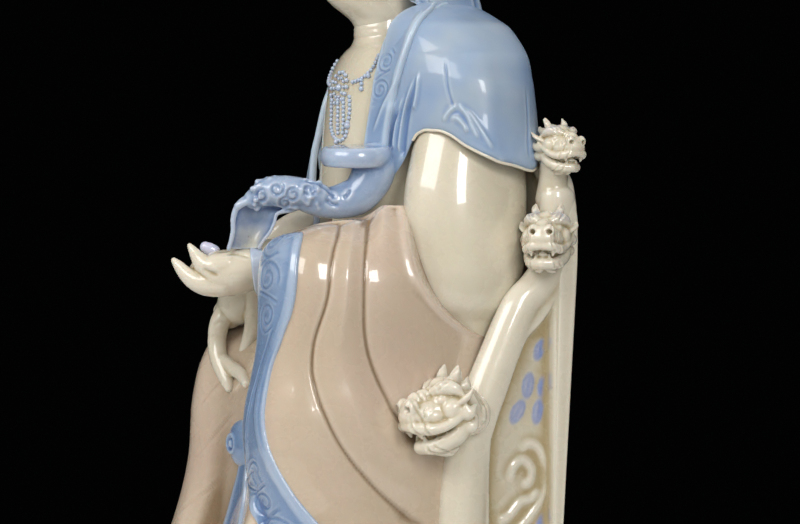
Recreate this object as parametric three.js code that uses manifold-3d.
// A robed guanyin seated on a dragon throne, in glazed porcelain: figure, throne and low plinth are luted
// together before the firing, so the whole work is one solid.
// Millimetres. +Z is up, the figure faces -Y, and +X is its left. The origin is the middle of the plinth's underside.
import * as THREE from "three";
import { mergeVertices } from "three/addons/utils/BufferGeometryUtils.js";
import Module from "manifold-3d";

const wasm = await Module();
wasm.setup();

// Plinth
const PLINTH_WIDTH = 264;
const PLINTH_DEPTH = 256;
const PLINTH_HEIGHT = 18;
const PLINTH_CORNER = 30;
const PLINTH_BEVEL = 3;

// Throne
const THRONE_WIDTH = 236; // over the outer faces of the arms
const ARM_THICKNESS = 20;
const BACK_THICKNESS = 16;
const BACK_INSET = 13; // from the plinth's rear edge to the foot of the throne's back
const BACK_LEAN = 0.025; // how far the back leans rearward, for each millimetre of height
const BACK_HEIGHT = 340; // from the plinth to the middle of the crest
const SEAT_HEIGHT = 152;
const SEAT_DEPTH = 74;
const RAIL_HALF_WIDTH = 16; // across the rail, in the plane of the arm
const RAIL_HALF_THICKNESS = 13;
const BORDER_RADIUS = 8; // the round moulding along the edge of the back
const PANEL_DEPTH = 5; // how far the arm's panel lies back from its frame
const PANEL_MARGIN = 16; // from the throne's rear face to the panel

// Dragon heads, from nose to mane
const ARM_DRAGON_LENGTH = 58;
const MIDDLE_DRAGON_LENGTH = 42;
const TOP_DRAGON_LENGTH = 35;

// Figure, from the plinth's top to the top of the veil. Its forms below are drawn at DRAWN_HEIGHT.
const FIGURE_HEIGHT = 512;
const DRAWN_HEIGHT = 512;
const NECK_SETBACK = 48; // the neck's axis, behind the middle of the plinth

const IVORY = 0xe6dfc8; // clear glaze over the white body

const scale = FIGURE_HEIGHT / DRAWN_HEIGHT;
const halfThrone = THRONE_WIDTH / 2;
const throneRear = PLINTH_DEPTH / 2 - BACK_INSET;
const throneFront = throneRear - BACK_THICKNESS - SEAT_DEPTH;

// A point of the figure: x to its left, y back from the neck's axis, z above the plinth
const at = (x, y, z) =>
  new THREE.Vector3(x * scale, NECK_SETBACK + y * scale, PLINTH_HEIGHT + z * scale);
// A point of the throne: x from the middle, y back from the plinth's middle, z above the plinth
const on = (x, y, z) => new THREE.Vector3(x, y, PLINTH_HEIGHT + z);

// Closed solid of a three.js geometry, turned so that its faces point out
function solid(geometry) {
  const bare = geometry.clone();
  bare.deleteAttribute("normal");
  bare.deleteAttribute("uv");
  const merged = mergeVertices(bare, 1e-4);
  const triVerts = new Uint32Array(merged.index.array);
  const vertProperties = new Float32Array(merged.attributes.position.array);
  const made = new wasm.Manifold(new wasm.Mesh({ numProp: 3, vertProperties, triVerts }));
  if (made.volume() >= 0) return made;
  for (let i = 0; i < triVerts.length; i += 3) {
    [triVerts[i + 1], triVerts[i + 2]] = [triVerts[i + 2], triVerts[i + 1]];
  }
  return new wasm.Manifold(new wasm.Mesh({ numProp: 3, vertProperties, triVerts }));
}

const join = (solids) => solids.reduce((whole, s) => whole.add(s));

// Solid through a stack of closed rings, each a list of as many points. Both ends close on a tip.
function skin(rings, firstTip = centre(rings[0]), lastTip = centre(rings.at(-1))) {
  const n = rings[0].length;
  const points = [firstTip, ...rings.flat(), lastTip];
  const last = points.length - 1;
  const faces = [];
  for (let i = 0; i < n; i++) {
    const j = (i + 1) % n;
    faces.push(0, 1 + j, 1 + i, last, last - n + i, last - n + j);
    for (let r = 0; r < rings.length - 1; r++) {
      const a = 1 + r * n;
      faces.push(a + i, a + j, a + n + j, a + i, a + n + j, a + n + i);
    }
  }
  const geometry = new THREE.BufferGeometry().setFromPoints(points);
  geometry.setIndex(faces);
  return solid(geometry);
}

function centre(ring) {
  return ring.reduce((sum, p) => sum.add(p), new THREE.Vector3()).divideScalar(ring.length);
}

// Value at share t of a list of evenly spaced values
function along(values, t) {
  const place = t * (values.length - 1);
  const i = Math.min(Math.floor(place), values.length - 2);
  return values.length < 2 ? values[0] : values[i] + (values[i + 1] - values[i]) * (place - i);
}

// Round or flattened limb along a smooth path. radii are across it, and thickness is their share along "up".
function limb(path, radii, { sides = 7, steps = 5, thickness = 1, up = [0, 0, 1], blunt = 0.7 } = {}) {
  const curve = new THREE.CatmullRomCurve3(path);
  const side = new THREE.Vector3(...up);
  const rings = [];
  for (let s = 0; s <= steps; s++) {
    const t = s / steps;
    const tangent = curve.getTangent(t);
    const across = new THREE.Vector3().crossVectors(side, tangent).normalize();
    const upward = new THREE.Vector3().crossVectors(tangent, across);
    const radius = along(radii, t);
    rings.push(
      Array.from({ length: sides }, (_, i) => {
        const angle = (2 * Math.PI * i) / sides;
        return curve
          .getPoint(t)
          .addScaledVector(across, radius * Math.cos(angle))
          .addScaledVector(upward, radius * thickness * Math.sin(angle));
      }),
    );
  }
  const tip = (t, sign) =>
    curve.getPoint(t).addScaledVector(curve.getTangent(t), sign * blunt * along(radii, t) * Math.min(thickness, 1));
  return skin(rings, tip(0, -1), tip(1, 1));
}

// Egg-shaped solid with half-sizes along its own axes, turned by Euler angles in degrees
function egg(middle, [rx, ry, rz], turn = [0, 0, 0], [wide, high] = [8, 6]) {
  const euler = new THREE.Euler(...turn.map(THREE.MathUtils.degToRad));
  const place = new THREE.Matrix4()
    .makeRotationFromEuler(euler)
    .scale(new THREE.Vector3(rx, ry, rz))
    .setPosition(middle);
  return solid(new THREE.SphereGeometry(1, wide, high).applyMatrix4(place));
}

// Ring of a garment or body at height z. front and back are the y of its foremost and rearmost points, and its
// corners fill out as its power grows.
function oval(n, { x = 0, rx, front, back, z, power = 2, backPower = power, shape = (p) => p }) {
  return Array.from({ length: n }, (_, i) => {
    const angle = (2 * Math.PI * i) / n;
    const fullness = Math.sin(angle) > 0 ? backPower : power;
    const fill = (v) => Math.sign(v) * Math.abs(v) ** (2 / fullness);
    const p = {
      x: x + rx * fill(Math.cos(angle)),
      y: (front + back) / 2 + ((back - front) / 2) * fill(Math.sin(angle)),
      z,
      angle,
    };
    const q = shape(p);
    return at(q.x, q.y, q.z);
  });
}

const stack = (n, rows, common = {}) => skin(rows.map((row) => oval(n, { ...common, ...row })));

// Smooth hollow with a broad floor, from 1 in the middle to 0 well past width
const hollowShape = (distance, width) => Math.exp(-((distance / width) ** 4));

function plinth() {
  const w = PLINTH_WIDTH / 2 - PLINTH_BEVEL;
  const d = PLINTH_DEPTH / 2 - PLINTH_BEVEL;
  const shape = new THREE.Shape();
  for (const [x, y, start] of [[w, d, 0], [-w, d, 90], [-w, -d, 180], [w, -d, 270]]) {
    const cx = x - Math.sign(x) * PLINTH_CORNER;
    const cy = y - Math.sign(y) * PLINTH_CORNER;
    const from = THREE.MathUtils.degToRad(start);
    shape.absarc(cx, cy, PLINTH_CORNER, from, from + Math.PI / 2, false);
  }
  const geometry = new THREE.ExtrudeGeometry(shape, {
    depth: PLINTH_HEIGHT - 2 * PLINTH_BEVEL,
    bevelThickness: PLINTH_BEVEL,
    bevelSize: PLINTH_BEVEL,
    bevelSegments: 1,
    curveSegments: 3,
  });
  return solid(geometry.translate(0, 0, PLINTH_BEVEL));
}

// Flat board of an outline, its thickness along z
function board(outline, thickness) {
  const shape = new THREE.Shape(outline.map(([a, b]) => new THREE.Vector2(a, b)));
  return new THREE.ExtrudeGeometry(shape, { depth: thickness, bevelEnabled: false });
}

const turned = (geometry, xAxis, yAxis, zAxis) =>
  geometry.applyMatrix4(
    new THREE.Matrix4().makeBasis(new THREE.Vector3(...xAxis), new THREE.Vector3(...yAxis), new THREE.Vector3(...zAxis)),
  );

// How far rearward the leaning back stands at a height above the plinth
const lean = (z) => BACK_LEAN * z;

// Middle line of an arm's rail, from the foot of the front post up to the neck of the topmost dragon: [y, z]
function railLine() {
  const post = throneFront + RAIL_HALF_WIDTH;
  return [
    [post, 0],
    [post, 70],
    [post, 132],
    [post + 5, 152],
    [post + 13, 172],
    [post + 22, 189],
    [post + 34, 204],
    [throneRear - 26, 220],
    [throneRear - 14, 246],
    [throneRear - 9, 275],
    [throneRear - 6, 298],
  ];
}

// One arm, on the side given by sign: a panel sunk in a frame, under a round rail that sweeps down to the front post
function arm(sign) {
  const curve = new THREE.CatmullRomCurve3(railLine().map(([y, z]) => new THREE.Vector3(0, y, z)));
  const line = curve.getPoints(14).map((p) => [p.y, p.z]).filter(([, z]) => z < 240);
  const rear = throneRear - 2;
  const wall = board([...line, [rear, line.at(-1)[1]], [rear, 0]], ARM_THICKNESS);
  const frameWidth = RAIL_HALF_WIDTH + 1;
  const floor = 14;
  const under = line.filter(([, z]) => z > 60).map(([y, z]) => [y + frameWidth, z - 8]);
  const panelRear = throneRear - PANEL_MARGIN;
  const inside = under.filter(([y]) => y < panelRear - 3);
  const hollow = board(
    [[inside[0][0], floor], ...inside, [panelRear, inside.at(-1)[1] + 4], [panelRear, floor]],
    2 * PANEL_DEPTH,
  );
  const stand = (geometry, x) =>
    solid(turned(geometry, [0, 1, 0], [0, 0, 1], [1, 0, 0]).translate(x, 0, PLINTH_HEIGHT));
  const inner = sign > 0 ? halfThrone - ARM_THICKNESS : -halfThrone;
  const panelFace = sign * (halfThrone - PANEL_DEPTH) - (sign > 0 ? 0 : 2 * PANEL_DEPTH);
  const rail = limb(
    railLine().map(([y, z]) => on(sign * (halfThrone - RAIL_HALF_THICKNESS + 4), y, z)),
    [RAIL_HALF_WIDTH],
    { sides: 8, steps: 13, up: [1, 0, 0], thickness: RAIL_HALF_THICKNESS / RAIL_HALF_WIDTH, blunt: 0 },
  );
  return stand(wall, inner).subtract(stand(hollow, panelFace)).add(rail);
}

// Outline of the back for a half width: up one side, over the crest and down the other
function backLine(halfWidth) {
  const half = [
    [1, 0],
    [1, 0.7],
    [0.99, 0.79],
    [0.93, 0.85],
    [0.82, 0.87],
    [0.7, 0.91],
    [0.45, 0.95],
    [0.22, 0.98],
    [0, 1],
  ].map(([across, up]) => [across * halfWidth, up * BACK_HEIGHT]);
  return [...half, ...half.slice(0, -1).reverse().map(([x, z]) => [-x, z])];
}

// The leaning back, with a round moulding over its arch
function back() {
  const panel = turned(board(backLine(halfThrone), BACK_THICKNESS), [1, 0, 0], [0, BACK_LEAN, 1], [0, 1, 0]);
  const arch = backLine(halfThrone - BORDER_RADIUS / 2).filter(([, z]) => z > 0.6 * BACK_HEIGHT);
  const border = limb(
    arch.map(([x, z]) => on(x, throneRear - BACK_THICKNESS / 2 + lean(z), z)),
    [BORDER_RADIUS / 2, BORDER_RADIUS, BORDER_RADIUS, BORDER_RADIUS, BORDER_RADIUS, BORDER_RADIUS / 2],
    { sides: 6, steps: 14, up: [0, 1, 0], thickness: 1.15 },
  );
  return solid(panel.translate(0, throneRear - BACK_THICKNESS, PLINTH_HEIGHT)).add(border);
}

function seat() {
  const width = THRONE_WIDTH - ARM_THICKNESS;
  const depth = throneRear - throneFront - 8;
  const block = new THREE.BoxGeometry(width, depth, SEAT_HEIGHT);
  return solid(block.translate(0, throneRear - 2 - depth / 2, PLINTH_HEIGHT + SEAT_HEIGHT / 2));
}

// Dragon's head with its mouth open. It looks along direction, and length is from nose to mane.
function dragon(middle, direction, length) {
  const ahead = new THREE.Vector3(...direction).normalize();
  const left = new THREE.Vector3(0, 0, 1).cross(ahead).normalize();
  const up = new THREE.Vector3().crossVectors(ahead, left);
  const frame = new THREE.Matrix4().makeBasis(ahead, left, up).scale(new THREE.Vector3(length, length, length));
  frame.setPosition(middle);
  const p = (x, y, z) => new THREE.Vector3(x, y, z);
  const forms = [
    limb([p(-0.42, 0, -0.04), p(-0.1, 0, 0.05), p(0.15, 0, 0.01), p(0.45, 0, 0.05)], [0.3, 0.37, 0.3, 0.24], {
      sides: 7, steps: 3, thickness: 0.9, blunt: 0.25,
    }),
    limb([p(-0.2, 0, -0.18), p(0.08, 0, -0.37), p(0.36, 0, -0.32)], [0.24, 0.25, 0.18], {
      sides: 6, steps: 2, thickness: 0.45, blunt: 0.4,
    }),
  ];
  for (const s of [1, -1]) {
    forms.push(
      egg(p(0.04, s * 0.15, 0.27), [0.18, 0.14, 0.12], [0, 0, 0], [5, 3]),
      limb([p(-0.16, s * 0.16, 0.24), p(-0.2, s * 0.22, 0.58)], [0.1, 0.03], { sides: 3, steps: 1, up: [0, 1, 0] }),
      limb([p(-0.12, s * 0.26, 0), p(-0.4, s * 0.4, 0.08)], [0.12, 0.04], { sides: 3, steps: 1, thickness: 0.6 }),
    );
  }
  return join(forms).transform(frame.elements);
}

// Three heads on each side: at the front of the arm, over the rail, and at the top of the back
function dragons() {
  const heads = [];
  for (const s of [1, -1]) {
    heads.push(
      dragon(on(s * halfThrone, throneFront - 3, 151), [s * 0.14, -1, -0.16], ARM_DRAGON_LENGTH),
      dragon(on(s * (halfThrone + 10), throneRear - 31, 255), [s, -0.22, -0.05], MIDDLE_DRAGON_LENGTH),
      dragon(on(s * (halfThrone + 1), throneRear - 7, 314), [s, 0.32, 0], TOP_DRAGON_LENGTH),
    );
  }
  return join(heads);
}

// Skirt of the robe over both legs, from its hem on the plinth to the lap, with a valley between the knees
function skirt() {
  const rows = [
    { z: -2, rx: 109, front: -160, valley: 8, pleat: 5 },
    { z: 30, rx: 105, front: -148, valley: 12, pleat: 5 },
    { z: 74, rx: 100, front: -131, valley: 14, pleat: 3 },
    { z: 112, rx: 98, front: -121, valley: 16, pleat: 1 },
    { z: 150, rx: 97, front: -118, valley: 34, pleat: 0 },
    { z: 178, rx: 93, front: -112, valley: 44, pleat: 0 },
    { z: 194, rx: 86, front: -101, valley: 34, pleat: 0 },
    { z: 206, rx: 66, front: -78, valley: 12, pleat: 0 },
  ];
  return skin(
    rows.map((row) =>
      oval(40, {
        ...row,
        back: 50,
        power: 3.2,
        shape: (p) => {
          const valley = p.y < -20 ? row.valley * hollowShape(p.x, 54) : 0;
          const pleat = row.pleat * Math.cos(10 * p.angle);
          return { x: p.x + pleat * Math.cos(p.angle), y: p.y + valley + pleat * Math.sin(p.angle), z: p.z };
        },
      }),
    ),
  );
}

// The robe's wide sleeve, fallen from the left forearm over the thigh
function leftFall() {
  return stack(18, [
    { z: 96, x: 62, rx: 34, front: -98, back: 36 },
    { z: 140, x: 61, rx: 43, front: -112, back: 46 },
    { z: 182, x: 60, rx: 44, front: -108, back: 46 },
    { z: 212, x: 59, rx: 41, front: -101, back: 44 },
    { z: 236, x: 58, rx: 40, front: -95, back: 40 },
    { z: 254, x: 56, rx: 35, front: -85, back: 34 },
    { z: 267, x: 58, rx: 28, front: -66, back: 26 },
    { z: 275, x: 64, rx: 15, front: -42, back: 12 },
  ], { power: 2.4 });
}

// The right sleeve ends behind the wrist, over the other thigh
function rightFall() {
  return stack(16, [
    { z: 110, x: -60, rx: 38, front: -80, back: 40 },
    { z: 165, x: -63, rx: 42, front: -76, back: 44 },
    { z: 205, x: -63, rx: 38, front: -60, back: 42 },
    { z: 236, x: -63, rx: 32, front: -46, back: 38 },
    { z: 258, x: -63, rx: 26, front: -34, back: 32 },
    { z: 272, x: -63, rx: 16, front: -20, back: 20 },
  ], { power: 2.4 });
}

// Upper sleeve, from under the cape to its low corner behind the elbow
function upperSleeve(sign) {
  return stack(18, [
    { z: 194, x: sign * 92, rx: 5, front: 10, back: 24 },
    { z: 210, x: sign * 86, rx: 16, front: -11, back: 38 },
    { z: 230, x: sign * 82, rx: 24, front: -23, back: 50 },
    { z: 258, x: sign * 78, rx: 30, front: -27, back: 56 },
    { z: 290, x: sign * 76, rx: 32, front: -25, back: 57 },
    { z: 322, x: sign * 72, rx: 31, front: -20, back: 52 },
  ]);
}

function torso() {
  return stack(18, [
    { z: 160, rx: 78, front: -60, back: 50 },
    { z: 235, rx: 58, front: -42, back: 50 },
    { z: 290, rx: 54, front: -38, back: 48 },
    { z: 345, rx: 54, front: -34, back: 46 },
    { z: 370, rx: 38, front: -29, back: 36 },
    { z: 384, rx: 24, front: -27, back: 24 },
    { z: 412, rx: 22, front: -28, back: 22 },
  ]);
}

// Height of the cape's hem. It lifts over each elbow, and t runs from the middle of the back to the chest.
const hemHeight = (t) => along([296, 296, 298, 301, 306, 314, 323, 322, 300, 282, 282], t);

// Cape over the shoulders, open down the chest
function cape() {
  const rows = [
    { rise: 0, rx: 88, front: -20, back: 50 },
    { rise: 0.02, rx: 107, front: -31, back: 64 },
    { rise: 0.3, rx: 108, front: -32, back: 69 },
    { rise: 0.58, rx: 104, front: -33, back: 69 },
    { rise: 0.8, rx: 86, front: -30, back: 64 },
    { rise: 0.94, rx: 58, front: -26, back: 58 },
    { rise: 1.06, rx: 34, front: -20, back: 50 },
  ];
  const top = 390;
  return skin(
    rows.map((row) =>
      oval(32, {
        ...row,
        z: 0,
        power: 2,
        backPower: 2.7,
        shape: (p) => {
          const open = p.y < 0 && Math.abs(p.x) < 32 ? 12 : 0;
          const low = hemHeight(Math.acos(Math.sin(p.angle)) / Math.PI);
          return { x: p.x, y: p.y + open, z: low + (top - low) * row.rise };
        },
      }),
    ),
  );
}

// Head with its hair: a plain oval face, bowed a little
function head() {
  const skull = stack(12, [
    { z: 403, rx: 9, front: -38, back: -16 },
    { z: 411, rx: 17, front: -41, back: 4 },
    { z: 422, rx: 24, front: -42, back: 18 },
    { z: 438, rx: 29, front: -43, back: 27 },
    { z: 456, rx: 31, front: -41, back: 31 },
    { z: 474, rx: 28, front: -34, back: 31 },
    { z: 486, rx: 18, front: -22, back: 24 },
  ]);
  const nose = limb([at(0, -42, 446), at(0, -47, 435), at(0, -45, 431)], [3, 5, 4], {
    sides: 5, steps: 2, up: [0, 1, 0],
  });
  const topknot = egg(at(0, 4, 490), [16, 17, 19], [0, 0, 0], [7, 5]);
  const crown = limb([at(0, -28, 468), at(0, -25, 482), at(0, -17, 498)], [13, 12, 3], {
    sides: 6, steps: 2, thickness: 0.6, up: [0, 1, 0],
  });
  const ears = [1, -1].map((s) =>
    limb([at(s * 30, -6, 448), at(s * 31, -8, 434), at(s * 27, -10, 418)], [6, 5, 4.5], { sides: 4, steps: 2 }),
  );
  return join([skull, nose, topknot, crown, ...ears]);
}

// Veil from over the topknot down to the shoulders, open round the face
function veil() {
  const rows = [
    { z: 356, rx: 52, front: 12, back: 62, open: 0 },
    { z: 380, rx: 46, front: -8, back: 63, open: 12 },
    { z: 402, rx: 40, front: -14, back: 62, open: 26 },
    { z: 430, rx: 40, front: -18, back: 57, open: 30 },
    { z: 458, rx: 40, front: -22, back: 50, open: 28 },
    { z: 482, rx: 32, front: -20, back: 42, open: 14 },
    { z: 500, rx: 21, front: -14, back: 30, open: 0 },
    { z: 510, rx: 11, front: -6, back: 20, open: 0 },
  ];
  return skin(
    rows.map((row) =>
      oval(20, {
        ...row,
        power: 2.2,
        shape: (p) => ({ ...p, y: p.y + (p.y < 8 && Math.abs(p.x) < 30 ? row.open : 0) }),
      }),
    ),
    at(0, 36, 354),
    at(0, 7, DRAWN_HEIGHT),
  );
}

// A finger through its joints
const finger = (points, radius) =>
  limb(points.map((p) => at(...p)), [radius, radius * 0.95, radius * 0.7], { sides: 5, steps: 3 });

// The left hand lies palm up, its thumb on the near side and its fingers curled up at their tips
function leftHand() {
  const palm = limb([at(26, -84, 238), at(18, -100, 238), at(10, -116, 233), at(3, -127, 231)], [16, 18, 19, 14], {
    sides: 8, steps: 3, thickness: 0.72,
  });
  const cuff = limb([at(27, -82, 240), at(22, -96, 240)], [17.5, 17], { sides: 8, steps: 1, blunt: 0.1 });
  return join([
    palm,
    cuff,
    finger([[14, -120, 226], [9, -135, 230], [6, -144, 235], [5, -149, 241]], 6.2),
    finger([[6, -124, 227], [0, -139, 232], [-3, -146, 239], [-4, -149, 248]], 5.8),
    finger([[-2, -120, 229], [-9, -135, 234], [-12, -141, 242], [-12, -141, 251]], 5.6),
    finger([[-8, -114, 232], [-16, -126, 237], [-19, -132, 244], [-19, -132, 252]], 5),
    finger([[26, -106, 242], [22, -126, 242], [18, -138, 241], [15, -144, 248]], 6.4),
  ]);
}

// The right hand hangs over the inner side of the right knee
function rightHand() {
  const forearm = limb([at(-58, -14, 268), at(-50, -44, 258), at(-42, -74, 234)], [17, 15, 13], {
    sides: 8, steps: 3,
  });
  const palm = limb([at(-42, -72, 236), at(-43, -87, 220), at(-45, -92, 200)], [13, 17, 17], {
    sides: 8, steps: 3, thickness: 0.62,
  });
  return join([
    forearm,
    palm,
    finger([[-42, -90, 210], [-44, -103, 190], [-43, -102, 173], [-38, -94, 159]], 6.4),
    finger([[-49, -88, 208], [-52, -100, 191], [-53, -103, 176], [-50, -99, 163]], 6),
    finger([[-55, -84, 208], [-60, -98, 193], [-62, -105, 178], [-60, -104, 166]], 5.8),
    finger([[-60, -78, 210], [-67, -92, 197], [-70, -102, 184], [-69, -106, 174]], 5.2),
    finger([[-30, -74, 222], [-28, -83, 207], [-28, -89, 192], [-30, -89, 178]], 6.8),
  ]);
}

// Sceptre across the lap: its foot stands in the left palm, its body arches over the wrist, and its disc-shaped
// head curls back against the breast
function sceptre() {
  const stem = limb(
    [at(10, -112, 244), at(9, -107, 262), at(14, -96, 278), at(24, -70, 286), at(34, -50, 281), at(46, -34, 279),
      at(57, -26, 292), at(52, -32, 306)],
    [12, 15, 15, 13, 12, 11, 10, 9],
    { sides: 7, steps: 11, thickness: 0.6, up: [-0.3, 0.5, 1] },
  );
  const disc = egg(at(36, -43, 309), [22, 20, 7], [0, 4, 0], [12, 4]);
  return stem.add(disc);
}

// Raised border or ribbon through places on the robe
function band(points, widths, steps, thickness = 0.4) {
  return limb(points.map((p) => at(...p)), widths, { sides: 4, steps, thickness, up: [0, -1, 0], blunt: 0.2 });
}

function borders() {
  const collars = [1, -1].map((s) =>
    band([[s * 31, -29, 364], [s * 33, -34, 340], [s * 36, -37, 316], [s * 40, -34, 288]], [6, 7, 7, 5], 4, 0.5));
  return join([
    band([[30, -84, 254], [35, -96, 232], [40, -103, 204], [46, -109, 176], [51, -113, 152], [64, -111, 128],
      [78, -106, 104], [90, -101, 76], [98, -104, 30], [100, -106, 6]], [9, 10, 8, 6, 5, 6, 9, 12, 14, 15], 10, 0.6),
    band([[-2, -96, 122], [-8, -104, 96], [-14, -118, 50], [-18, -132, 8]], [5, 6, 8, 10], 4, 0.6),
    band([[2, -96, 122], [8, -102, 96], [14, -114, 50], [18, -128, 8]], [5, 6, 8, 10], 4, 0.6),
    band([[-52, -117, 110], [-60, -126, 74], [-66, -140, 36], [-70, -150, 4]], [5, 8, 12, 15], 4, 0.6),
    egg(at(0, -97, 128), [9, 7, 11], [0, 0, 0], [7, 4]),
    ...collars,
  ]);
}

// Necklace: a beaded collar over the breast with a jewel and short hanging strings
function necklace() {
  const collar = limb(
    [at(-28, -29, 352), at(-14, -34, 343), at(0, -36, 340), at(14, -34, 343), at(28, -29, 352)],
    [2.6],
    { sides: 4, steps: 4 },
  );
  const jewel = egg(at(0, -37, 332), [10, 6, 11], [0, 0, 0], [6, 4]);
  const strings = [-8, 0, 8].map((x) =>
    limb([at(x, -39, 330), at(x, -41, 305), at(x * 0.8, -41, 286)], [2.6], { sides: 4, steps: 2 }),
  );
  return join([collar, jewel, ...strings]);
}

// Sharp raised folds of the robe, each through a few places on its surface
function folds() {
  const lines = [
    [[62, -68, 268], [73, -82, 236], [80, -92, 200], [88, -84, 150], [96, -62, 100]],
    [[72, -44, 272], [86, -52, 240], [93, -58, 204], [99, -44, 160]],
  ];
  return join(lines.map((line) => limb(line.map((p) => at(...p)), [2, 3.4, 2], { sides: 4, steps: 4 })));
}

// Toes of the shoes, under the hem
function feet() {
  return join([1, -1].map((s) => egg(at(s * 44, -150, 8), [17, 24, 12], [0, 0, 0], [7, 4])));
}

const work = join([
  plinth(), seat(), back(), arm(1), arm(-1), dragons(),
  skirt(), leftFall(), rightFall(), upperSleeve(1), upperSleeve(-1),
  torso(), cape(), veil(), head(),
  leftHand(), rightHand(), sceptre(), borders(), necklace(), folds(), feet(),
]);

function meshOf(made, name) {
  const { numProp, vertProperties, triVerts } = made.getMesh();
  const geometry = new THREE.BufferGeometry();
  geometry.setAttribute("position", new THREE.BufferAttribute(new Float32Array(vertProperties), numProp));
  geometry.setIndex(new THREE.BufferAttribute(new Uint32Array(triVerts), 1));
  geometry.computeVertexNormals();
  const glaze = new THREE.MeshStandardMaterial({ color: IVORY, roughness: 0.12, metalness: 0 });
  const mesh = new THREE.Mesh(geometry, glaze);
  mesh.name = name;
  return mesh;
}

const part = new THREE.Group();
part.add(meshOf(work, "guanyin_on_dragon_throne"));
export default part;
